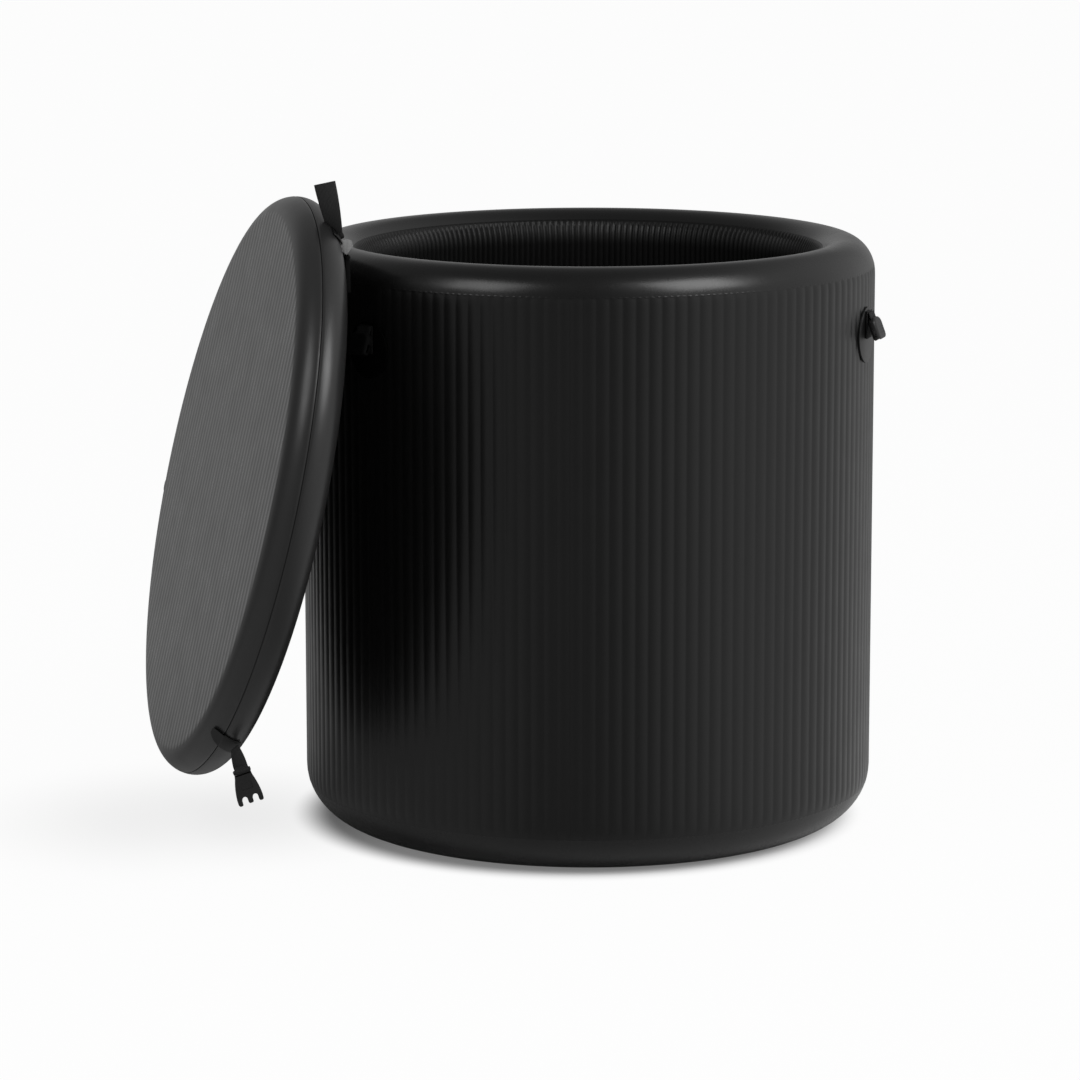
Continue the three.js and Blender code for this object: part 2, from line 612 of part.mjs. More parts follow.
function buckleSocket() {
  const half = SOCKET_WIDTH / 2;
  const outline = [
    [half - SOCKET_CHAMFER, 0], [half, -SOCKET_CHAMFER], [half, -SOCKET_LENGTH],
    [-half, -SOCKET_LENGTH], [-half, -SOCKET_CHAMFER], [-half + SOCKET_CHAMFER, 0],
  ];
  const mouthDepth = SOCKET_LENGTH - SLEEVE_DEPTH - SOCKET_WALL;
  const mouth = box(SOCKET_WIDTH - 2 * SOCKET_WALL, SOCKET_THICKNESS - 2 * SOCKET_WALL, 2 * mouthDepth);
  mouth.translate(0, 0, -SOCKET_LENGTH);
  const window = box(SOCKET_WIDTH * 2, SOCKET_WINDOW_HEIGHT, mouthDepth / 2);
  window.translate(0, 0, -SOCKET_LENGTH + mouthDepth / 2);
  return cut(extruded(outline, SOCKET_THICKNESS), sleeveHole(), mouth, window);
}

// Fastening points on the wall: patch, webbing tab and buckle socket.
function fasteningPoint(number, azimuth) {
  const crest = TUB_RADIUS + CLEARANCE;
  const patchSegments = 192;
  const shell = turned([
    [crest, -PATCH_DIAMETER], [crest + PATCH_THICKNESS, -PATCH_DIAMETER],
    [crest + PATCH_THICKNESS, PATCH_DIAMETER], [crest, PATCH_DIAMETER],
  ], patchSegments);
  const place = new THREE.Group();
  place.position.set(0, 0, socketHeight);
  place.rotation.set(0, 0, azimuth * RAD);
  tub.add(place);
  const blank = disc(PATCH_DIAMETER / 2, rimMiddle, pastWall, 24).rotateY(Math.PI / 2);
  const patch = fromSolid(toSolid(shell).intersect(toSolid(blank)));
  piece(place, `anchor_patch_${number}`, patch, 'skin');

  const tabRadius = crest + PATCH_THICKNESS + CLEARANCE + WEBBING_THICKNESS / 2;
  const across = new THREE.Vector3(0, 1, 0);
  const tabEnds = [TAB_ROOT_HEIGHT, TAB_ROOT_HEIGHT - TAB_SEWN_LENGTH];
  const sewn = tabEnds.map((z) => new THREE.Vector3(tabRadius, 0, z));
  const tab = strip(sewn, [across, across], WEBBING_WIDTH, WEBBING_THICKNESS);
  piece(place, `socket_tab_${number}`, tab, 'webbing');

  const hanging = new THREE.Group();
  hanging.position.set(tabRadius + WEBBING_THICKNESS + 2 * CLEARANCE, 0, TAB_ROOT_HEIGHT);
  hanging.rotation.set(0, -SOCKET_LEAN * RAD, 0);
  place.add(hanging);
  const freeLength = TAB_FREE_LENGTH + SLEEVE_DEPTH - CLEARANCE;
  const free = box(WEBBING_THICKNESS, WEBBING_WIDTH, freeLength).translate(0, 0, -freeLength / 2);
  piece(hanging, `socket_webbing_${number}`, free, 'webbing');
  const socket = buckleSocket().rotateZ(Math.PI / 2).translate(0, 0, -TAB_FREE_LENGTH);
  piece(hanging, `buckle_socket_${number}`, socket, 'plastic');
}

// Lid straps: a band round the edge, a twisted webbing and the buckle plug, hanging straight down.
function lidStrap(number, angle) {
  const turn = -angle * RAD;
  const edge = new THREE.Group();
  edge.position.set(edgeMiddle * Math.cos(turn), edgeMiddle * Math.sin(turn), 0);
  edge.rotation.set(0, 0, turn);
  lid.add(edge);
  const arcSteps = 8;
  const bandFront = BAND_FRONT_ANGLES[number - 1];
  const bandStep = (bandFront + BAND_BACK_ANGLE) / arcSteps;
  const halfStep = (bandStep / 2) * RAD;
  const bandMiddle = (lidHalf + CLEARANCE) / Math.cos(halfStep) + BAND_THICKNESS / 2;
  const onBand = (degrees, radius) => new THREE.Vector3(
    radius * Math.cos(degrees * RAD), 0, radius * Math.sin(degrees * RAD),
  );
  const places = [];
  for (let i = 0; i <= arcSteps; i += 1) {
    places.push(onBand(bandFront - bandStep * i, bandMiddle));
  }
  const across = new THREE.Vector3(0, 1, 0);
  const band = strip(places, places.map(() => across), BAND_WIDTH, BAND_THICKNESS);
  piece(edge, `strap_band_${number}`, band, 'band');

  // The webbing stands off the band and hangs in the tub's own frame, turned about the upright
  // from the plane of the lid's normal.
  edge.updateWorldMatrix(true, false);
  const leave = onBand(-STRAP_LEAVE_ANGLES[number - 1], 1).transformDirection(edge.matrixWorld);
  const face = STRAP_TURNS[number - 1] * RAD;
  const tilt = STRAP_LEANS[number - 1] * RAD;
  const side = lidLeft.clone().negate();
  const through = side.clone().multiplyScalar(Math.cos(face)).addScaledVector(lidOut, -Math.sin(face));
  const wide = lidOut.clone().multiplyScalar(Math.cos(face)).addScaledVector(side, Math.sin(face));
  wide.multiplyScalar(Math.cos(tilt)).setZ(-Math.sin(tilt));
  const up = wide.clone().cross(through).normalize();
  const stand = bandMiddle + BAND_THICKNESS / 2 + STRAP_STANDS[number - 1];
  const hanging = new THREE.Group();
  hanging.position.setFromMatrixPosition(edge.matrixWorld).addScaledVector(leave, stand);
  hanging.quaternion.setFromRotationMatrix(new THREE.Matrix4().makeBasis(wide, through, up));
  tub.add(hanging);
  const webbing = box(WEBBING_WIDTH, WEBBING_THICKNESS, STRAP_DROP).translate(0, 0, -STRAP_DROP / 2);
  piece(hanging, `strap_webbing_${number}`, webbing, 'webbing');
  const plug = bucklePlug().translate(0, 0, -STRAP_DROP + SLEEVE_DEPTH - CLEARANCE);
  piece(hanging, `buckle_plug_${number}`, plug, 'plastic');
  if (number === 1) strapTail(hanging.position);
}

// The loose end of the first strap stands up beside the lid's edge, gathered at its foot.
function strapTail(root) {
  const turn = TAIL_LEAN * RAD;
  const rise = lidOut.clone().multiplyScalar(Math.sin(turn)).setZ(Math.cos(turn));
  const square = lidOut.clone().multiplyScalar(Math.cos(turn)).setZ(-Math.sin(turn));
  const foot = root.clone().setZ(root.z + 2 * CLEARANCE);
  const ring = (place, across, width) => {
    const corner = (x, y) => place.clone()
      .addScaledVector(across, (x * width) / 2)
      .addScaledVector(lidLeft, (y * WEBBING_THICKNESS) / 2);
    return [corner(-1, -1), corner(1, -1), corner(1, 1), corner(-1, 1)];
  };
  const top = foot.clone().addScaledVector(rise, TAIL_LENGTH);
  const tail = loft([ring(foot, lidOut, TAIL_FOOT_WIDTH), ring(top, square, WEBBING_WIDTH)]);
  piece(tub, 'strap_tail', tail, 'webbing');
}

for (let i = 0; i < STRAP_COUNT; i += 1) {
  const step = (360 / STRAP_COUNT) * i;
  fasteningPoint(i + 1, SOCKET_AZIMUTH + step);
  lidStrap(i + 1, FIRST_STRAP_ANGLE + step);
}

export default tub;
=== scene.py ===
import json
import math

import bpy
from mathutils import Matrix, Vector


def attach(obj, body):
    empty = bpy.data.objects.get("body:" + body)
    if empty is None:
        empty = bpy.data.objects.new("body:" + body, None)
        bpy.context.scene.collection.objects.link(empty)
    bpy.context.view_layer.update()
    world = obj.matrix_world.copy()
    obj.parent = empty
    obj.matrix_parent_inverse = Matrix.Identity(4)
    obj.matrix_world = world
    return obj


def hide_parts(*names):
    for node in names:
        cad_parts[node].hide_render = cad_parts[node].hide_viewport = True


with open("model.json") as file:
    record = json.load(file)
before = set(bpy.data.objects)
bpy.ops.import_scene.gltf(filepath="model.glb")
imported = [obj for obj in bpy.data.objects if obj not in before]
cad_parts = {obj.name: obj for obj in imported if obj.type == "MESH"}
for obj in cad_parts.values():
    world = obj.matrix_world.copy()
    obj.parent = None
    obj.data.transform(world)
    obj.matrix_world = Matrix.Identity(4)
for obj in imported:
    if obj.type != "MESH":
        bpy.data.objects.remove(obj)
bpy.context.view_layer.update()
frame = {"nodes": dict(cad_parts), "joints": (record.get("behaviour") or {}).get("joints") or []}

# Sizes of the tub, in metres
TUB_RADIUS = 0.375
TUB_HEIGHT = 0.770
WALL_THICKNESS = 0.080
RIM_RISE = 0.046
RIM_SEAM_HEIGHT = 0.736
BASE_FILLET = 0.070
BASE_SEAM_HEIGHT = 0.050
SKIN = 0.002
FLOOR_TOP = 0.0624
UNDERSIDE_SHEET = 0.002
WALL_RIBS = 144
WALL_RIB_POINTS = 10
WALL_RIB_DEPTH = 0.0008
LINING_RIBS = 240
LINING_RIB_POINTS = 5
LINING_RIB_DEPTH = 0.0019
LINING_TOP = 0.757
STITCHES = 288
STITCH_HALF = 0.0012
STITCH_LIFT = 0.0004
SEAM_GAP = 0.0004

# Sizes and place of the lid
LID_RADIUS = 0.376
LID_HALF = 0.033
LID_AZIMUTH = math.radians(195.4)
LID_LEAN = math.radians(13.5)
LID_CENTRE = Vector((-0.4394413, -0.1915747, 0.4704722))
LID_SEAM_ANGLE = 12
LID_VALVE_ANGLE = math.radians(-205)
LID_VALVE_RADIUS = 0.270
LID_LINE_PITCH = 0.0167
STRAP_ANGLES = (19.3, 139.3, 259.3)

# Sizes of the straps, buckles and fastening points
WEBBING_WIDTH = 0.025
WEBBING_THICKNESS = 0.0018
STRAP_DROP = 0.024
STRAP_STRAIGHT = 0.0135
STRAP_WIDTH = 0.018
STRAP_TWISTS = (0, 50, 0)
STRAP_SLIPS = (0, 0.011, 0)
STRAP_SHIFTS = ((0, 0, 0), (0.0045, 0, -0.0030), (-0.0053, -0.0014, 0.0013))
TAIL_WIDTH = 0.027
TAIL_LENGTH = 0.0645
TAIL_LEAN = math.radians(12)
TAIL_TURN = math.radians(12)
TAIL_TWIST = math.radians(50)
TAIL_FOOT = Vector((-0.012, -0.004, 0.0105))
BAND_WIDTH = 0.030
BAND_RADIUS = 0.0347
BAND_HALF_THICKNESS = 0.001
BAND_SPANS = ((1, -25, -90, 0), (2, 40, -32, 0.66), (3, 60, -90, 0))
SLEEVE_DEPTH = 0.007
SOCKET_AZIMUTHS = (343.5, 103.5, 223.5)
SOCKET_HEIGHT = 0.655
PATCH_RADIUS = 0.036
TAB_ROOT_HEIGHT = 0.030
TAB_SEWN_LENGTH = 0.034
TAB_FREE_LENGTH = 0.0078
SOCKET_LEAN = math.radians(20)
SOCKET_THICKNESS = 0.0104
PLUG_THICKNESS = 0.006

# Places of the valve and the drain
VALVE_AZIMUTH = math.radians(60)
VALVE_HEIGHT = 0.640
DRAIN_AZIMUTH = math.radians(90)
DRAIN_HEIGHT = 0.0984
VALVE_HOLE = 0.0174
DRAIN_HOLE = 0.0164

# Floor and room
FLOOR_GREY = 0.9
FLOOR_CENTRE = (-0.015, 0, 0)
FLOOR_WHITE_NEAR = (0.325, 0.385, 0.0, 0.80)
# A painted shadow on the floor: round this point under the lid's foot the floor is drawn greyer, whether
# the lid is there or not.
LID_PAINTED_SHADOW_CENTRE = (-0.53, -0.06, 0)
LID_PAINTED_SHADOW_RANGE = (0.02, 0.36, 0.0, 0.165)
FLOOR_MIRRORED = (0.32, 0.50, 0.0, 0.92)
ROOM_RIGHT = (1, 0, 0)
ROOM_RIGHT_RANGE = (0.0, 1.0, 0.18, 0.66)
ROOM_BACK = (-0.30, 0.85, -0.40)
ROOM_BACK_RANGE = (0.3, 0.9, 0.18, 0.455)
ROOM_LEFT = (-0.74, -0.67, 0)
ROOM_LEFT_RANGE = (0.75, 1.0, 0.16, 0.34)
LAMP_TARGET = Vector((0, -0.33, 0.75))
RIGHT_LAMP = ((1.80, -1.46, 2.87), 1.5, 37)
LEFT_LAMP = ((-1.76, -1.70, 2.76), 1.3, 17)
CAMERA_PLACE = Vector((0.093456, -5.7409, 1.43345))
CAMERA_FOCUS = 4406.8
IMAGE_WIDTH = 1080
SENSOR_WIDTH = 36

RIM_MIDDLE = TUB_RADIUS - WALL_THICKNESS / 2
RIM_START = TUB_HEIGHT - RIM_RISE
INNER_RADIUS = TUB_RADIUS - WALL_THICKNESS


def axes_matrix(x, y, z, origin):
    """A place with its own X, Y and Z directions."""
    matrix = Matrix((x, y, z)).transposed().to_4x4()
    matrix.translation = origin
    return matrix


def wall_place(azimuth, radius, height):
    """A place on the wall: Z points outwards and Y points up."""
    out = Vector((math.cos(azimuth), math.sin(azimuth), 0))
    up = Vector((0, 0, 1))
    return axes_matrix(up.cross(out), up, out, out * radius + up * height)


lid_out = Vector((math.cos(LID_AZIMUTH), math.sin(LID_AZIMUTH), 0))
lid_normal = lid_out * math.cos(LID_LEAN) + Vector((0, 0, math.sin(LID_LEAN)))
lid_up = -lid_out * math.sin(LID_LEAN) + Vector((0, 0, math.cos(LID_LEAN)))
lid_left = lid_normal.cross(lid_up)
LID_PLACE = axes_matrix(lid_up, lid_left, lid_normal, LID_CENTRE)
LID_VALVE_SPOT = Vector((math.cos(LID_VALVE_ANGLE), math.sin(LID_VALVE_ANGLE), 0)) * LID_VALVE_RADIUS
joints = {joint["name"]: joint for joint in frame["joints"]}


# Modelling helpers

def clear_selection():
    if bpy.context.object and bpy.context.object.mode != "OBJECT":
        bpy.ops.object.mode_set(mode="OBJECT")
    bpy.ops.object.select_all(action="DESELECT")


def pick(piece):
    """Makes a piece the only selected one."""
    clear_selection()
    piece.select_set(True)
    bpy.context.view_layer.objects.active = piece


def seed_point(name, place):
    """Starts a piece as one point, ready to be extruded in edit mode."""
    clear_selection()
    bpy.ops.mesh.primitive_plane_add(size=0.01)
    piece = bpy.context.object
    piece.name = name
    piece.data.name = name
    bpy.ops.object.mode_set(mode="EDIT")
    bpy.ops.mesh.merge(type="CENTER")
    bpy.ops.transform.translate(value=place)
    return piece


def draw_line(points):
    """Extrudes the selected point along a row of points."""
    for here, there in zip(points, points[1:]):
        step = Vector(there) - Vector(here)
        bpy.ops.mesh.extrude_region_move(TRANSFORM_OT_translate={"value": step})


def merge_doubles():
    bpy.ops.mesh.select_all(action="SELECT")
    bpy.ops.mesh.remove_doubles(threshold=1e-6)


def mend():
    """Merges doubled points, turns the faces outwards and leaves edit mode."""
    merge_doubles()
    bpy.ops.mesh.normals_make_consistent(inside=False)
    bpy.ops.object.mode_set(mode="OBJECT")


def turned(name, outline, steps):
    """Turns an outline of (radius, height) points round Z."""
    points = [(r, 0, z) for r, z in outline]
    if outline[0][0] > 0 or outline[-1][0] > 0:
        points.append(points[0])
    piece = seed_point(name, points[0])
    draw_line(points)
    merge_doubles()
    bpy.ops.mesh.spin(steps=steps, angle=2 * math.pi, center=(0, 0, 0), axis=(0, 0, 1))
    mend()
    return piece


def section_face(name, points):
    """Starts a piece as one flat face, ready to be swept in edit mode."""
    piece = seed_point(name, points[0])
    draw_line(points + points[:1])
    merge_doubles()
    bpy.ops.mesh.edge_face_add()
    return piece


def swept(name, section, moves):
    """Sweeps a section of (x, y) points down Z, by moves of (length, degrees, radius) that bend to +Y."""
    piece = section_face(name, [(x, y, 0) for x, y in section])
    place = Vector((0, 0, 0))
    heading = 0
    for length, degrees, radius in moves:
        ahead = Vector((0, math.sin(heading), -math.cos(heading)))
        if length:
            bpy.ops.mesh.extrude_region_move(TRANSFORM_OT_translate={"value": ahead * length})
            place += ahead * length
        if degrees:
            turn = math.radians(degrees)
            side = Vector((0, math.cos(heading), math.sin(heading)))
            centre = place + side * math.copysign(radius, degrees)
            steps = max(4, round(abs(degrees) / 6))
            bpy.ops.mesh.spin(steps=steps, angle=-turn, center=centre, axis=(1, 0, 0))
            place = centre + Matrix.Rotation(turn, 3, "X") @ (place - centre)
            heading += turn
    mend()
    return piece


def plate(name, outline, thickness):
    """A flat plate in the XZ plane with the outline's shape, centred on Y."""
    piece = section_face(name, [(x, -thickness / 2, z) for x, z in outline])
    bpy.ops.mesh.extrude_region_move(TRANSFORM_OT_translate={"value": (0, thickness, 0)})
    mend()
    return piece


def joined(piece, *others):
    pick(piece)
    for other in others:
        other.select_set(True)
    bpy.ops.object.join()
    return piece


def modify(piece, kind, **settings):
    """Adds a modifier and applies it."""
    pick(piece)
    modifier = piece.modifiers.new(kind.title(), kind)
    for key, value in settings.items():
        setattr(modifier, key, value)
    bpy.ops.object.modifier_apply(modifier=modifier.name)


def rounded(piece, width, segments=3, angle=35):
    modify(piece, "BEVEL", width=width, segments=segments, limit_method="ANGLE",
           angle_limit=math.radians(angle), harden_normals=False)


def carved(piece, *cutters):
    """Cuts other pieces out of a piece and deletes them."""
    for cutter in cutters:
        modify(piece, "BOOLEAN", object=cutter, operation="DIFFERENCE", solver="EXACT")
        bpy.data.objects.remove(cutter)


def rod(radius, low, high, place=Matrix.Identity(4), sides=48):
    """A plain rod along a place's own Z, used to cut holes."""
    clear_selection()
    bpy.ops.mesh.primitive_cylinder_add(vertices=sides, radius=radius, depth=high - low)
    piece = bpy.context.object
    settle(piece, place @ Matrix.Translation((0, 0, (low + high) / 2)))
    return piece


def block(width, depth, height, centre=(0, 0, 0)):
    clear_selection()
    bpy.ops.mesh.primitive_cube_add(size=1)
    piece = bpy.context.object
    settle(piece, Matrix.Translation(centre) @ Matrix.Diagonal((width, depth, height, 1)))
    return piece


def settle(piece, place):
    """Moves a piece to its place and puts that place into its mesh."""
    pick(piece)
    piece.matrix_world = place
    bpy.ops.object.transform_apply(location=True, rotation=True, scale=True)


def ribbed(piece, ribs, points, depth, strength_at):
    """Presses grooves between ribs into a turned piece; strength_at(radius, height) gives their share."""
    group = piece.vertex_groups.new(name="grooves")
    steps = ribs * points
    for vertex in piece.data.vertices:
        x, y, z = vertex.co
        share = strength_at(math.hypot(x, y), z)
        if share <= 0:
            continue
        step = round(math.atan2(y, x) / (2 * math.pi) * steps) % points
        group.add([vertex.index], share * (1 - math.sin(math.pi * step / points)), "REPLACE")
    modify(piece, "DISPLACE", direction="NORMAL", mid_level=0, strength=-depth, vertex_group="grooves")
    piece.vertex_groups.clear()


def arc(centre_r, centre_z, half_width, height, start, end, steps):
    """Points of an elliptical arc in the (radius, height) plane, angles in degrees."""
    points = []
    for i in range(steps + 1):
        angle = math.radians(start + (end - start) * i / steps)
        points.append((centre_r + half_width * math.cos(angle), centre_z + height * math.sin(angle)))
    return points


def ease(value, low, high):
    """0 below low, 1 above high and smooth between."""
    share = min(max((value - low) / (high - low), 0), 1)
    return share * share * (3 - 2 * share)


def paint(piece, material):
    piece.data.materials.clear()
    piece.data.materials.append(material)


def mirrored(side):
    """A whole outline from its right half."""
    return side + [(-x, z) for x, z in reversed(side)]


def finished(piece, body, nodes, material, angle=40):
    """Gives a piece its finish and hangs it on its body in place of its CAD nodes."""
    pick(piece)
    bpy.ops.object.shade_smooth_by_angle(angle=math.radians(angle))
    paint(piece, material)
    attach(piece, body)
    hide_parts(*nodes)


# Finishes

class Shade:
    """A value in a node tree that can be used in sums."""

    def __init__(self, maker, socket):
        self.maker = maker
        self.socket = socket

    def sum(self, operation, *others):
        return self.maker.math(operation, self, *others)

    def __add__(self, other):
        return self.sum("ADD", other)

    def __mul__(self, other):
        return self.sum("MULTIPLY", other)

    def __sub__(self, other):
        return self.sum("SUBTRACT", other)

    def __rsub__(self, other):
        return self.maker.math("SUBTRACT", other, self)

    __radd__ = __add__
    __rmul__ = __mul__


class Finish:
    """A procedural material, or another owner of nodes such as the world."""

    def __init__(self, name, owner=None):
        self.material = owner or bpy.data.materials.new(name)
        self.material.use_nodes = True
        self.tree = self.material.node_tree
        self.shader = self.tree.nodes.get("Principled BSDF")

    def node(self, kind, settings=None, inputs=None, output=0):
        """Adds a node; the settings come first, then its sockets' values or links."""
        node = self.tree.nodes.new(kind)
        for key, value in (settings or {}).items():
            setattr(node, key, value)
        for key, value in (inputs or {}).items():
            self.feed(node.inputs[key], value)
        return Shade(self, node.outputs[output])

    def feed(self, socket, value):
        if isinstance(value, Shade):
            self.tree.links.new(value.socket, socket)
        else:
            socket.default_value = value

    def math(self, operation, *values):
        return self.node("ShaderNodeMath", {"operation": operation}, dict(enumerate(values)))

    def place(self):
        return self.node("ShaderNodeTexCoord", output="Object")

    def vector_math(self, operation, *values):
        """Vector maths whose result is a number."""
        inputs = dict(enumerate(values))
        return self.node("ShaderNodeVectorMath", {"operation": operation}, inputs, "Value")

    def light_path(self, output):
        return self.node("ShaderNodeLightPath", output=output)

    def along(self, direction):
        """How far a point of the surface lies along a direction, in metres."""
        return self.vector_math("DOT_PRODUCT", self.place(), tuple(direction))

    def noise(self, scale, detail=2.0, roughness=0.5):
        return self.node("ShaderNodeTexNoise", None, {
            "Vector": self.place(), "Scale": scale, "Detail": detail, "Roughness": roughness})

    def ridges(self, direction, pitch):
        """A wave from 0 to 1 along a direction."""
        return (self.along(direction) * (2 * math.pi / pitch)).sum("SINE") * 0.5 + 0.5

    def spread(self, value, limits):
        """Eases a value between two limits onto two levels."""
        names = ("From Min", "From Max", "To Min", "To Max")
        return self.node("ShaderNodeMapRange", {"interpolation_type": "SMOOTHSTEP"},
                         {"Value": value, **dict(zip(names, limits))})

    def mix(self, share, first, second):
        return self.node("ShaderNodeMix", {"data_type": "RGBA"},
                         {"Factor": share, 6: first, 7: second}, 2)

    def bump(self, height, strength, distance, below=None):
        inputs = {"Height": height, "Strength": strength, "Distance": distance}
        if below:
            inputs["Normal"] = below
        return self.node("ShaderNodeBump", None, inputs)

    def set(self, **inputs):
        for key, value in inputs.items():
            self.feed(self.shader.inputs[key.replace("_", " ")], value)
        return self.material


def grey(level):
    return (level, level, level, 1)


def pvc(name, level, roughness, grain, lines=None, flat=None, shine=0.5):
    """Coated cloth: a fine grain over a scrim, with slow changes of gloss."""
    finish = Finish(name)
    cloud = finish.noise(7, 3)
    speck = finish.noise(1500, 2)
    colour = finish.mix(cloud, grey(level * 0.86), grey(level * 1.16))
    normal = finish.bump(speck, grain, 0.0003)
    gloss = finish.noise(24, 3) * 0.1 + speck * 0.06 + (roughness - 0.08)
    if lines:
        thread = finish.ridges(*lines)
        if flat:
            direction, middle, limits = flat
            height = (finish.along(direction) - middle).sum("ABSOLUTE")
            thread = thread * finish.spread(height, limits)
        normal = finish.bump(thread, 0.6, 0.0007, normal)
        colour = finish.mix(thread, grey(level * 0.75), grey(level * 1.3))
        gloss = gloss - thread * 0.05 + 0.025
    return finish.set(Base_Color=colour, Roughness=gloss, Normal=normal, Specular_IOR_Level=shine)


def woven(name, level, along, across):
    """Webbing: crossed ridges of yarn and a dusty sheen."""
    finish = Finish(name)
    warp = finish.ridges(across, 0.0016)
    weft = finish.ridges(along, 0.0011)
    yarn = warp * weft * 0.7 + warp * 0.3
    colour = finish.mix(yarn, grey(level * 0.55), grey(level * 1.35))
    fuzz = finish.noise(2400, 2)
    normal = finish.bump(yarn + fuzz * 0.25, 0.7, 0.0005)
    return finish.set(Base_Color=colour, Roughness=fuzz * 0.1 + 0.72, Normal=normal)


def moulded(name, level, roughness, shine=0.5):
    """Moulded plastic: a fine spark texture with rubbed patches."""
    finish = Finish(name)
    spark = finish.noise(2600, 2)
    rub = finish.noise(90, 3)
    colour = finish.mix(rub, grey(level * 0.85), grey(level * 1.25))
    return finish.set(Base_Color=colour, Roughness=rub * 0.14 + (roughness - 0.07),
                      Normal=finish.bump(spark, 0.25, 0.0002), Specular_IOR_Level=shine)


def rubber(name, level):
    finish = Finish(name)
    bloom = finish.noise(160, 4)
    colour = finish.mix(bloom, grey(level * 0.8), grey(level * 1.5))
    return finish.set(Base_Color=colour, Roughness=bloom * 0.2 + 0.62,
                      Normal=finish.bump(finish.noise(1900, 2), 0.3, 0.0002))


def wire(name):
    finish = Finish(name)
    draw = finish.noise(900, 3)
    colour = finish.mix(draw, (0.40, 0.41, 0.43, 1), (0.56, 0.57, 0.59, 1))
    return finish.set(Base_Color=colour, Metallic=1.0, Roughness=draw * 0.15 + 0.2)


def thread_core(name):
    finish = Finish(name)
    strands = finish.noise(500, 4)
    colour = finish.mix(strands, (0.55, 0.55, 0.51, 1), (0.74, 0.74, 0.70, 1))
    return finish.set(Base_Color=colour, Roughness=strands * 0.1 + 0.8,
                      Normal=finish.bump(strands, 0.6, 0.001))


wall_pvc = pvc("wall_pvc", 0.004, 0.36, 0.12)
lining_pvc = pvc("lining_pvc", 0.003, 0.40, 0.08, shine=0.25)
rim_pvc = pvc("rim_pvc", 0.004, 0.28, 0.06)
lid_faces = (lid_normal, LID_CENTRE.dot(lid_normal), (LID_HALF - 0.0012, LID_HALF - 0.0001, 0, 1))
lid_pvc = pvc("lid_pvc", 0.028, 0.31, 0.08, (lid_left, LID_LINE_PITCH), lid_faces)
patch_pvc = pvc("patch_pvc", 0.008, 0.36, 0.12)
band_pvc = pvc("band_pvc", 0.006, 0.45, 0.12, shine=0.28)
# A darker, matter copy of the patch cloth: painted shade for the patch that sits in shade.
painted_shade_pvc = pvc("patch_pvc_painted_shade", 0.002, 0.6, 0.12, shine=0.05)
floor_pvc = pvc("floor_pvc", 0.014, 0.55, 0.2, ((1, 0, 0), 0.008))
plastic = moulded("buckle_plastic", 0.010, 0.42)
# A darker, matter copy of the buckle plastic: painted shade for the buckles that hang in shade.
painted_shade_plastic = moulded("buckle_plastic_painted_shade", 0.004, 0.75, 0.1)
seal = rubber("seal_rubber", 0.010)
steel = wire("spring_steel")
core_threads = thread_core("core_threads")


def webbing_for(name, place, level=0.012):
    """Webbing whose yarns follow a place's own Z and X directions."""
    turn = place.to_3x3()
    return woven(name, level, turn.col[2], turn.col[0])


# Tub: wall, lining, rim, base and floor

def rim_half_width(z):
    return WALL_THICKNESS / 2 * math.sqrt(max(1 - ((z - RIM_START) / RIM_RISE) ** 2, 0))


def base_radius(z):
    return TUB_RADIUS - BASE_FILLET + math.sqrt(BASE_FILLET ** 2 - (BASE_FILLET - z) ** 2)


def wall_radius(z):
    """The radius of the tub's outside at a height."""
    if z < BASE_FILLET:
        return base_radius(z)
    if z > RIM_START:
        return RIM_MIDDLE + rim_half_width(z)
    return TUB_RADIUS


def make_wall():
    levels = [BASE_SEAM_HEIGHT + SEAM_GAP, 0.054, 0.060, 0.070, 0.090, 0.400]
    levels += [0.715, 0.722, 0.728, 0.732, RIM_SEAM_HEIGHT - SEAM_GAP]
    face = [(wall_radius(z), z) for z in levels]
    back = [(r - 2 * SKIN, z) for r, z in face]
    wall = turned("ribbed_wall", face + [back[-1], back[0]], WALL_RIBS * WALL_RIB_POINTS)

    def strength(radius, z):
        if radius < wall_radius(z) - 0.001:
            return 0
        return ease(z, 0.050, 0.062)

    ribbed(wall, WALL_RIBS, WALL_RIB_POINTS, WALL_RIB_DEPTH, strength)
    carved(wall,
           rod(VALVE_HOLE, 0.30, 0.45, wall_place(VALVE_AZIMUTH, 0, VALVE_HEIGHT)),
           rod(DRAIN_HOLE, 0.20, 0.45, wall_place(DRAIN_AZIMUTH, 0, DRAIN_HEIGHT)))
    finished(wall, "tub", ["outer_skin"], wall_pvc, 60)


def make_lining():
    levels = [FLOOR_TOP + SEAM_GAP, 0.070, 0.400, RIM_START]
    levels += [0.730, 0.736, 0.741, 0.745, 0.749, 0.752, 0.7545, LINING_TOP]
    face = [(RIM_MIDDLE - rim_half_width(max(z, RIM_START)), z) for z in levels]
    back = [(r + SKIN + 0.001, z) for r, z in face]
    lining = turned("ribbed_lining", face + [back[-1], back[0]], LINING_RIBS * LINING_RIB_POINTS)

    def strength(radius, z):
        surface = RIM_MIDDLE - rim_half_width(max(z, RIM_START))
        if radius > surface + 0.001:
            return 0
        return 1 - ease(z, 0.749, LINING_TOP)

    ribbed(lining, LINING_RIBS, LINING_RIB_POINTS, LINING_RIB_DEPTH, strength)
    carved(lining, rod(DRAIN_HOLE, 0.20, 0.45, wall_place(DRAIN_AZIMUTH, 0, DRAIN_HEIGHT)))
    finished(lining, "tub", ["inner_skin"], lining_pvc, 60)


def make_rim():
    start = math.degrees(math.asin((RIM_SEAM_HEIGHT - RIM_START) / RIM_RISE))
    end = 180 - math.degrees(math.asin((LINING_TOP - RIM_START) / RIM_RISE))
    crest = arc(RIM_MIDDLE, RIM_START, WALL_THICKNESS / 2, RIM_RISE, start, end, 30)
    rim = turned("rim_roll", crest, 480)
    finished(rim, "tub", ["rim_band"], rim_pvc, 60)


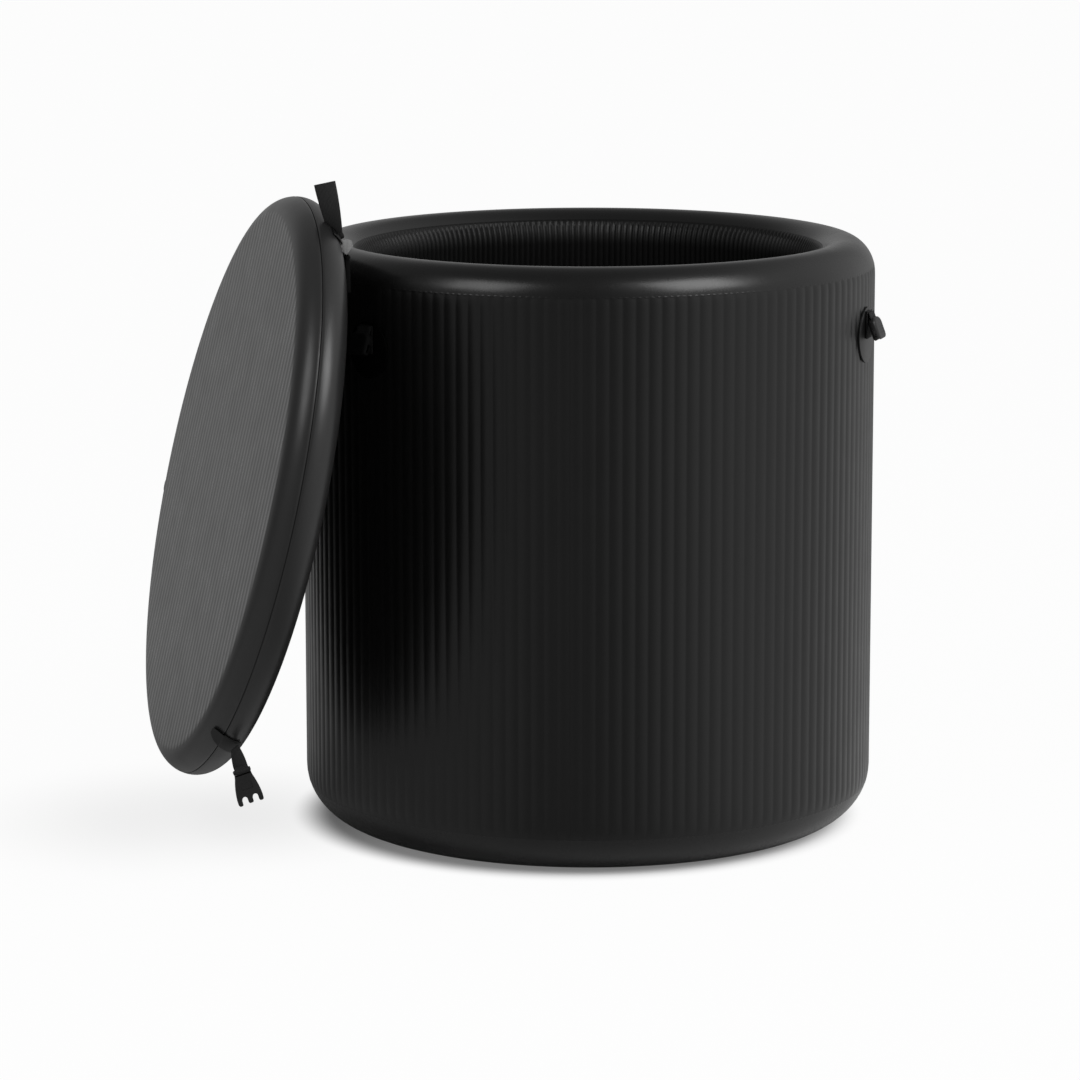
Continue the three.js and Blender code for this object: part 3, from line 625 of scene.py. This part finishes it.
def make_base():
    start = math.degrees(math.asin((BASE_FILLET - BASE_SEAM_HEIGHT) / BASE_FILLET))
    corner = TUB_RADIUS - BASE_FILLET
    face = arc(corner, BASE_FILLET, BASE_FILLET, BASE_FILLET, -start, -90, 14)
    back = arc(corner, BASE_FILLET, BASE_FILLET - SKIN, BASE_FILLET - SKIN, -90, -start, 14)
    base = turned("base_roll", face + back, 360)
    finished(base, "tub", ["base_band"], rim_pvc)
    sheet = turned("underside_sheet", [
        (0, 0), (corner - 0.0024, 0), (corner - SEAM_GAP, 0.0006), (corner - SEAM_GAP, 0.0016),
        (corner - 0.002, UNDERSIDE_SHEET), (0, UNDERSIDE_SHEET)], 180)
    finished(sheet, "tub", ["base_sheet"], floor_pvc)
    edge = INNER_RADIUS + 0.0025
    pad = turned("floor_pad", [
        (0, 0.0026), (edge - 0.03, 0.0026), (edge, 0.02), (edge, 0.048), (edge - 0.004, 0.056),
        (edge - 0.012, 0.0608), (edge - 0.022, FLOOR_TOP), (0, FLOOR_TOP)], 240)
    rounded(pad, 0.002)
    finished(pad, "tub", ["floor_panel"], floor_pvc)


def make_seam_bead(name, node, height, slope):
    """A thin row of stitches that lies in a seam, with soft edges."""
    near = wall_radius(height) - 0.0002
    outline = []
    for share, lift in ((-1, 0), (-0.6, 0.8), (0, 1), (0.6, 0.8), (1, 0)):
        rise = share * STITCH_HALF
        outline.append((near + slope * rise + lift * STITCH_LIFT, height + rise))
    bead = turned(name, outline, STITCHES * 4)

    def stitch(radius, z):
        return 1 if abs(z - height) < 0.001 else 0

    ribbed(bead, STITCHES, 4, STITCH_LIFT, stitch)
    finished(bead, "tub", [node], rim_pvc, 60)


make_wall()
make_lining()
make_rim()
make_base()
make_seam_bead("rim_seam_bead", "rim_welt", RIM_SEAM_HEIGHT, -0.26)
make_seam_bead("base_seam_bead", "base_welt", BASE_SEAM_HEIGHT, 0.28)


# Lid: two covers that meet at a sunk seam

def make_lid():
    ring = LID_RADIUS - LID_HALF
    inner = LID_HALF - SKIN
    sunk = LID_HALF - 0.0004
    seam, gap = LID_SEAM_ANGLE, 0.9

    face = [(0, LID_HALF), (0.2, LID_HALF)] + arc(ring, 0, LID_HALF, LID_HALF, 90, seam + 3, 18)
    face += arc(ring, 0, sunk, sunk, seam + 1.6, seam + gap, 2)
    back = arc(ring, 0, inner, inner, seam + gap, 90, 12) + [(0.2, inner), (0, inner)]
    cover = turned("lid_front_cover", face + back, 480)
    settle(cover, LID_PLACE)
    finished(cover, "lid", ["lid_outward_face", "lid_edge_front"], lid_pvc, 60)

    face = [(0, -LID_HALF), (0.2, -LID_HALF)] + arc(ring, 0, LID_HALF, LID_HALF, -90, seam - 3, 24)
    face += arc(ring, 0, sunk, sunk, seam - 1.6, seam - gap, 2)
    back = arc(ring, 0, inner, inner, seam - gap, -90, 16) + [(0.2, -inner), (0, -inner)]
    cover = turned("lid_back_cover", face + back, 480)
    carved(cover, rod(VALVE_HOLE, -0.05, 0, Matrix.Translation(LID_VALVE_SPOT)))
    settle(cover, LID_PLACE)
    finished(cover, "lid", ["lid_tub_side_face", "lid_edge_back"], lid_pvc, 60)


make_lid()


# Straps, buckles and fastening points

def webbing_section(width):
    """The outline of webbing across its length, with a low rib for each group of yarns."""
    half, thick, ribs = width / 2, WEBBING_THICKNESS / 2, 9
    top = []
    for i in range(2 * ribs + 1):
        x = -half + width * i / (2 * ribs)
        edge = 0.45 if i in (0, 2 * ribs) else 1
        top.append((x, thick * edge - (0 if i % 2 else 0.0001)))
    return top + [(x, -y) for x, y in reversed(top)]


def strap_place(number):
    """Where a lid strap hangs: X across the webbing, Y through it and Z up."""
    joint = joints[f"strap_{number}_swing"]
    wide = Vector(joint["axis"])
    through = Vector((0, 0, 1)).cross(wide).normalized()
    return axes_matrix(wide, through, wide.cross(through), Vector(joint["pos_m"]))


def edge_place(number):
    """A place in the middle of the lid's edge: X outwards, Y along the edge, Z the lid's normal."""
    turn = -math.radians(STRAP_ANGLES[number - 1])
    ring = LID_RADIUS - LID_HALF
    return LID_PLACE @ Matrix.Rotation(turn, 4, "Z") @ Matrix.Translation((ring, 0, 0))


def make_band(number, front, back, skew):
    """A welded band round the lid's edge, with a half-oval end on the outward face."""
    half, radius = BAND_WIDTH / 2, BAND_RADIUS
    edge = [(0.9, 1), (1, 0.3), (0.97, -0.5), (0.9, -0.9)]
    section = [(x * half, y * BAND_HALF_THICKNESS) for x, y in mirrored(edge)]
    band = swept(f"strap_band_weld_{number}", section, [(0, front - back, radius)])
    angle = math.radians(front)
    out = Vector((math.cos(angle), 0, math.sin(angle)))
    settle(band, axes_matrix((0, 1, 0), -out, (-out.z, 0, out.x), out * radius))
    if front > 0:
        low = out.x * radius
        waste = block(0.026, 0.05, 0.05, (low + 0.001, 0, 0.032))
        end = Matrix.Translation((low + 0.014, 0, 0)) @ Matrix.Diagonal((0.014, half, 1, 1))
        carved(waste, rod(1, 0, 0.08, end, 96))
        carved(band, waste)
    if skew:
        slide_along(band, skew)
    settle(band, edge_place(number))
    finished(band, "lid", [f"strap_band_{number}"], band_pvc)


def slide_along(band, skew):
    """Slides a band along the lid's edge, more towards its end on the outward face."""
    reach = 0.04
    group = band.vertex_groups.new(name="slide")
    for vertex in band.data.vertices:
        group.add([vertex.index], (vertex.co.z + reach) / (2 * reach), "REPLACE")
    modify(band, "DISPLACE", direction="Y", mid_level=0, strength=skew * 2 * reach, vertex_group="slide")
    band.vertex_groups.clear()
    settle(band, Matrix.Translation((0, -skew * (reach + 0.007), 0)))


def make_plug():
    """The plug half of a side-release buckle, with its zero at the top of its bar."""
    side = [
        (0.0088, 0.0006), (0.0099, -0.0006), (0.0104, -0.0035), (0.0106, -0.0075), (0.0114, -0.0115),
        (0.0130, -0.0170), (0.0146, -0.0240), (0.0157, -0.0310), (0.0163, -0.0380), (0.0161, -0.0440),
        (0.0151, -0.0459), (0.0114, -0.0459), (0.0106, -0.0445), (0.0104, -0.0390), (0.0094, -0.0362),
        (0.0068, -0.0350), (0.0042, -0.0362), (0.0032, -0.0390), (0.0030, -0.0440), (0.0022, -0.0452),
    ]
    plug = plate("buckle_plug_body", mirrored(side), PLUG_THICKNESS)
    rounded(plug, 0.0011)
    window = block(0.0186, 0.02, 0.0179, (0, 0, 0.00135))
    carved(plug, window, block(0.014, 0.004, 0.009, (0, 0.0044, -0.0220)))
    across = Matrix.Rotation(math.pi / 2, 4, "Y")
    bar = rod(0.0026, -0.0112, 0.0112, Matrix.Translation((0, 0.0004, -0.0026)) @ across, 32)
    rounded(bar, 0.0008, 2)
    return joined(plug, bar)


def make_strap(number):
    body = f"strap_{number}"
    place = Matrix.Translation(STRAP_SHIFTS[number - 1]) @ strap_place(number)
    twist = math.radians(STRAP_TWISTS[number - 1])
    slip = STRAP_SLIPS[number - 1]
    straight = STRAP_STRAIGHT + slip
    section = webbing_section(STRAP_WIDTH)
    webbing = swept(f"strap_webbing_loop_{number}", section, [(straight / 12, 0, 0)] * 12)
    if twist:
        modify(webbing, "SIMPLE_DEFORM", deform_method="TWIST", deform_axis="Z", angle=twist)
        settle(webbing, Matrix.Rotation(twist, 4, "Z"))
    turn = swept("webbing_turn", section, [(0, 50, 0.003), (0.002, -110, 0.0034), (0.005, 0, 0)])
    settle(turn, Matrix.Translation((0, 0, -straight)))
    joined(webbing, turn)
    settle(webbing, place)
    weave = webbing_for(f"strap_weave_{number}", place)
    finished(webbing, body, [f"strap_webbing_{number}"], weave)
    plug = make_plug()
    plug.name = f"buckle_plug_body_{number}"
    settle(plug, place @ Matrix.Translation((0, 0, -STRAP_DROP + SLEEVE_DEPTH - 0.0004 - slip)))
    # Plug 1 hangs in the shade between the lid and the tub, so it gets the plastic with painted shade.
    material = painted_shade_plastic if number == 1 else plastic
    finished(plug, body, [f"buckle_plug_{number}"], material)


def make_tail():
    """The loose end of the upper strap: it stands up beside the lid and turns towards its foot."""
    rise = lid_out * math.sin(TAIL_LEAN) + Vector((0, 0, math.cos(TAIL_LEAN)))
    square = lid_out * math.cos(TAIL_LEAN) - Vector((0, 0, math.sin(TAIL_LEAN)))
    foot = Vector(joints["strap_1_swing"]["pos_m"]) + TAIL_FOOT
    place = axes_matrix(square, rise.cross(square), rise, foot + rise * TAIL_LENGTH)
    step = (TAIL_LENGTH / 24, 0, 0)
    tail = swept("strap_tail_webbing", webbing_section(TAIL_WIDTH), [step] * 24)
    modify(tail, "SIMPLE_DEFORM", deform_method="TWIST", deform_axis="Z", angle=TAIL_TWIST)
    settle(tail, place @ Matrix.Rotation(-TAIL_TURN, 4, "Z"))
    finished(tail, "lid", ["strap_tail"], webbing_for("tail_weave", place, 0.025))
    knot = rod(0.0042, -0.0065, 0.0065, sides=32)
    knot.name = "strap_tail_knot"
    rounded(knot, 0.0024, 4)
    settle(knot, Matrix.Translation(foot + Vector((0.004, 0, -0.004))) @ Matrix.Rotation(1.2, 4, "Y"))
    finished(knot, "lid", ["strap_tail"], webbing_for("knot_weave", place, 0.006))
    keeper = plate("strap_tail_keeper", [
        (-0.0100, -0.0040), (-0.0058, 0.0012), (0.0018, 0.0030), (0.0086, 0.0010), (0.0104, -0.0070),
        (0.0025, -0.0176), (-0.0032, -0.0130)], WEBBING_THICKNESS)
    rounded(keeper, 0.0005, 2)
    lean = Matrix.Rotation(math.radians(-22), 4, "X")
    settle(keeper, Matrix.Translation(foot + Vector((0.0120, -0.0090, -0.0090))) @ lean)
    # The keeper's pale grey, far lighter than the black webbing, is a painted reflection of the bright
    # room at this spot.
    finished(keeper, "lid", ["strap_tail"], webbing_for("keeper_painted_reflection", lean, 0.34))


def make_socket():
    """The socket half of a buckle: a rounded lug with a mouth, side windows and grip lines."""
    half, length, corner, foot = 0.018, 0.030, 0.010, 0.006
    side = arc(half - corner, -corner, corner, corner, 90, 0, 8)
    side += arc(half - foot, foot - length, foot, foot, 0, -90, 6)
    lug = plate("buckle_socket_body", mirrored(side), SOCKET_THICKNESS)
    rounded(lug, 0.0042, 6)
    mouth = block(0.0328, 0.0066, 0.0428, (0, 0, -length))
    window = block(0.072, 0.0034, 0.0107, (0, 0, -0.0193))
    slot = block(0.0258, 0.0026, 0.014)
    carved(lug, mouth, window, slot)
    for y in (-SOCKET_THICKNESS / 2, SOCKET_THICKNESS / 2):
        for z in (-0.014, -0.0175, -0.021):
            carved(lug, block(0.022, 0.0010, 0.0011, (0, y, z)))
    return lug


def make_fastening(number):
    """A patch on the wall, a sewn tab, and the socket that hangs from it on free webbing."""
    # Fastening 3 sits in the shade beside the lid. Its patch, tab, webbing and socket get darker copies of
    # their finishes, which is painted shade.
    in_shade = number == 3
    weave_level = 0.003 if in_shade else 0.012
    azimuth = math.radians(SOCKET_AZIMUTHS[number - 1])
    wall = Matrix.Rotation(azimuth, 4, "Z") @ Matrix.Translation((0, 0, SOCKET_HEIGHT))
    near, far = TUB_RADIUS + 0.0003, TUB_RADIUS + 0.0022
    patch = section_face(f"anchor_patch_weld_{number}", [
        (near, 0, -0.04), (far, 0, -0.04), (far, 0, 0.04), (near, 0, 0.04)])
    spread = 0.24
    bpy.ops.mesh.spin(steps=40, angle=spread, center=(0, 0, 0), axis=(0, 0, 1))
    mend()
    settle(patch, Matrix.Rotation(spread / 2, 4, "Z"))
    oval = rod(PATCH_RADIUS, 0.33, 0.42, Matrix.Rotation(math.pi / 2, 4, "Y"), 96)
    modify(patch, "BOOLEAN", object=oval, operation="INTERSECT", solver="EXACT")
    bpy.data.objects.remove(oval)
    rounded(patch, 0.0007, 2, 50)
    settle(patch, wall)
    material = painted_shade_pvc if in_shade else patch_pvc
    finished(patch, "tub", [f"anchor_patch_{number}"], material)

    radius = TUB_RADIUS + 0.0037
    end = Vector((radius, 0, TAB_ROOT_HEIGHT - TAB_SEWN_LENGTH))
    up = wall @ axes_matrix((0, 1, 0), (1, 0, 0), (0, 0, -1), end)
    tab = swept(f"sewn_tab_{number}", webbing_section(WEBBING_WIDTH),
                [(TAB_SEWN_LENGTH / 8, 0, 0)] * 8 + [(0, 70, 0.0012)])
    settle(tab, up)
    weave = webbing_for(f"tab_weave_{number}", up, weave_level)
    finished(tab, "tub", [f"socket_tab_{number}"], weave)

    root = Vector((radius + WEBBING_THICKNESS + 0.0008, 0, TAB_ROOT_HEIGHT))
    lean = Matrix.Rotation(-SOCKET_LEAN, 4, "Y") @ Matrix.Rotation(math.pi / 2, 4, "Z")
    hang = wall @ Matrix.Translation(root) @ lean
    free = swept(f"socket_webbing_loop_{number}", webbing_section(WEBBING_WIDTH), [(0.0049, 0, 0)] * 4)
    settle(free, hang)
    weave = webbing_for(f"socket_weave_{number}", hang, weave_level)
    finished(free, f"socket_{number}", [f"socket_webbing_{number}"], weave)
    lug = make_socket()
    lug.name = f"buckle_socket_body_{number}"
    settle(lug, hang @ Matrix.Translation((0, 0, -TAB_FREE_LENGTH)))
    # Socket 3 sits in shade beside the lid, so it gets the plastic with painted shade.
    material = painted_shade_plastic if in_shade else plastic
    finished(lug, f"socket_{number}", [f"buckle_socket_{number}"], material)


for number, front, back, skew in BAND_SPANS:
    make_band(number, front, back, skew)
    make_strap(number)
    make_fastening(number)
make_tail()


# Air valves and drain

def make_valve(prefix, place, carrier):
    tube, bore, flange = 0.017, 0.0135, 0.028
    body = turned(f"{prefix}_valve_housing", [
        (bore, -0.034), (tube, -0.034), (tube, 0.0004), (flange, 0.0004), (flange, 0.0018),
        (flange - 0.0014, 0.003), (tube + 0.0016, 0.003), (tube, 0.0032), (tube, 0.0104),
        (tube - 0.0006, 0.011), (bore + 0.0006, 0.011), (bore, 0.0104), (bore, -0.018),
        (0.004, -0.018), (0.004, -0.021), (bore, -0.021)], 96)
    settle(body, place)
    finished(body, carrier, [f"{prefix}_valve_body"], plastic, 30)

    inside, outside = tube + 0.0004, tube + 0.0026
    cap = turned(f"{prefix}_valve_lid", [
        (outside, 0.0034), (outside, 0.0060), (outside, 0.0115), (outside - 0.0006, 0.0129),
        (outside - 0.0022, 0.0136), (0.0125, 0.0136), (0.0118, 0.0129), (0.0030, 0.0129), (0.0022, 0.0134),
        (0, 0.0134),
        (0, 0.0114), (inside, 0.0114), (inside + 0.0008, 0.0034)], 32 * 6)

    def grip(radius, z):
        return 1 if radius > outside - 0.0003 and 0.0050 < z < 0.0120 else 0

    ribbed(cap, 32, 6, 0.0008, grip)
    lug = block(0.012, 0.0071, 0.0022, (0, outside + 0.006 - 0.00355, 0.0045))
    rounded(lug, 0.0009, 3)
    joined(cap, lug)
    settle(cap, place)
    finished(cap, f"{prefix}_valve_cap", [f"{prefix}_valve_cap"], plastic, 30)


def make_drain():
    place = wall_place(DRAIN_AZIMUTH, TUB_RADIUS, DRAIN_HEIGHT)
    tube, bore, flange, loose = 0.016, 0.012, 0.028, 0.0164
    face = -0.0822
    fitting = turned("drain_flange_tube", [
        (bore, face - 0.0026), (bore + 0.002, face - 0.003), (flange - 0.002, face - 0.003),
        (flange, face - 0.0016), (flange, face), (tube, face), (tube, 0.0275), (tube - 0.0006, 0.0282),
        (bore, 0.0282)], 72)
    settle(fitting, place)
    finished(fitting, "tub", ["drain_fitting"], plastic, 30)
    nut = turned("drain_lock_nut", [
        (loose, 0.0028), (flange - 0.0004, 0.0028), (flange, 0.0034), (flange, 0.0120),
        (flange - 0.0012, 0.0128), (loose, 0.0128)], 8 * 12)

    def flat(radius, z):
        return 1 if radius > flange - 0.002 else 0

    ribbed(nut, 8, 12, 0.0021, flat)
    settle(nut, place)
    finished(nut, "tub", ["drain_nut"], plastic, 30)
    outer = loose + 0.003
    cap = turned("drain_screw_cap", [
        (outer, 0.0132), (outer, 0.0160), (outer, 0.0290), (outer - 0.0007, 0.0306),
        (outer - 0.0020, 0.0312), (0.0130, 0.0312), (0.0122, 0.0304), (0, 0.0304), (0, 0.0282),
        (loose, 0.0282), (loose, 0.0132)], 28 * 6)

    def grip(radius, z):
        return 1 if radius > outer - 0.0003 and 0.0150 < z < 0.0300 else 0

    ribbed(cap, 28, 6, 0.0010, grip)
    settle(cap, place)
    finished(cap, "drain_cap", ["drain_cap"], plastic, 30)


make_valve("wall", wall_place(VALVE_AZIMUTH, TUB_RADIUS, VALVE_HEIGHT), "tub")
lid_valve_mouth = LID_PLACE @ (LID_VALVE_SPOT - Vector((0, 0, LID_HALF)))
make_valve("lid", axes_matrix(lid_left, lid_up, -lid_normal, lid_valve_mouth), "lid")
make_drain()


# CAD pieces that stay, with their own finish
for name, material in {
    "drop_stitch_core": core_threads, "lid_core": core_threads, "lid_seam_tape": patch_pvc,
    "wall_valve_spring": steel, "lid_valve_spring": steel,
    "wall_valve_plunger": seal, "lid_valve_plunger": seal, "drain_gasket": seal,
}.items():
    paint(frame["nodes"][name], material)


# Floor, light and camera

def room_level(finish, heading):
    """How bright the room is in a direction: brighter on the right, low at the back and on the left."""
    level = 0.0
    sides = ((ROOM_RIGHT, ROOM_RIGHT_RANGE), (ROOM_BACK, ROOM_BACK_RANGE), (ROOM_LEFT, ROOM_LEFT_RANGE))
    for side, limits in sides:
        toward = finish.vector_math("DOT_PRODUCT", heading, side)
        level = finish.spread(toward, limits).sum("MAXIMUM", level)
    return level


def make_stage():
    clear_selection()
    bpy.ops.mesh.primitive_plane_add(size=90, location=(0, 0, -0.0005))
    ground = bpy.context.object
    ground.name = "studio_floor"
    finish = Finish("studio_floor_paint")
    finish.set(Base_Color=grey(FLOOR_GREY), Roughness=0.9, Specular_IOR_Level=0.1)
    seen = finish.light_path("Is Camera Ray")
    reflected = finish.light_path("Is Glossy Ray")
    out = finish.vector_math("DISTANCE", finish.place(), FLOOR_CENTRE)
    # The floor's bright share also drops round the lid's foot: a painted shadow that does not move with
    # the lid.
    from_painted_shadow = finish.vector_math("DISTANCE", finish.place(), LID_PAINTED_SHADOW_CENTRE)
    white_with_painted_shadow = finish.spread(out, FLOOR_WHITE_NEAR) + finish.spread(from_painted_shadow, LID_PAINTED_SHADOW_RANGE)
    share = (seen * white_with_painted_shadow).sum("MAXIMUM", reflected * finish.spread(out, FLOOR_MIRRORED))
    heading = finish.node("ShaderNodeVectorMath", {"operation": "NORMALIZE"}, {0: finish.place()})
    level = room_level(finish, heading).sum("MAXIMUM", seen)
    colour = finish.mix(level, grey(0), grey(1))
    glow = finish.node("ShaderNodeEmission", None, {"Color": colour, "Strength": 1.0})
    mixed = finish.node("ShaderNodeMixShader", None, {
        0: share, 1: Shade(finish, finish.shader.outputs[0]), 2: glow})
    finish.feed(finish.tree.nodes["Material Output"].inputs["Surface"], mixed)
    paint(ground, finish.material)


def make_lamp(name, place, size, power):
    """A square soft light that shines on the tub."""
    data = bpy.data.lights.new(name, "AREA")
    data.shape = "SQUARE"
    data.size = size
    data.energy = power
    lamp = bpy.data.objects.new(name, data)
    bpy.context.scene.collection.objects.link(lamp)
    lamp.location = place
    lamp.rotation_euler = (LAMP_TARGET - Vector(place)).to_track_quat("-Z", "Y").to_euler()


def make_world():
    world = bpy.data.worlds.new("studio")
    bpy.context.scene.world = world
    finish = Finish("studio", world)
    heading = finish.node("ShaderNodeTexCoord", output="Generated")
    seen = finish.light_path("Is Camera Ray")
    background = finish.tree.nodes["Background"]
    background.inputs["Color"].default_value = grey(1)
    finish.feed(background.inputs["Strength"], room_level(finish, heading).sum("MAXIMUM", seen))


def make_camera():
    data = bpy.data.cameras.new("camera")
    data.sensor_width = SENSOR_WIDTH
    data.lens = CAMERA_FOCUS / IMAGE_WIDTH * SENSOR_WIDTH
    data.clip_end = 200
    camera = bpy.data.objects.new("camera", data)
    bpy.context.scene.collection.objects.link(camera)
    right = Vector((0.99963, 0.02714, -0.00101))
    up = Vector((-0.00398, 0.18294, 0.98312))
    forward = Vector((-0.02687, 0.98275, -0.18298))
    camera.matrix_world = axes_matrix(right, up, -forward, CAMERA_PLACE)
    bpy.context.scene.camera = camera


make_stage()
make_world()
make_camera()
make_lamp("right_lamp", *RIGHT_LAMP)
make_lamp("left_lamp", *LEFT_LAMP)
bpy.context.scene.view_settings.view_transform = "Standard"
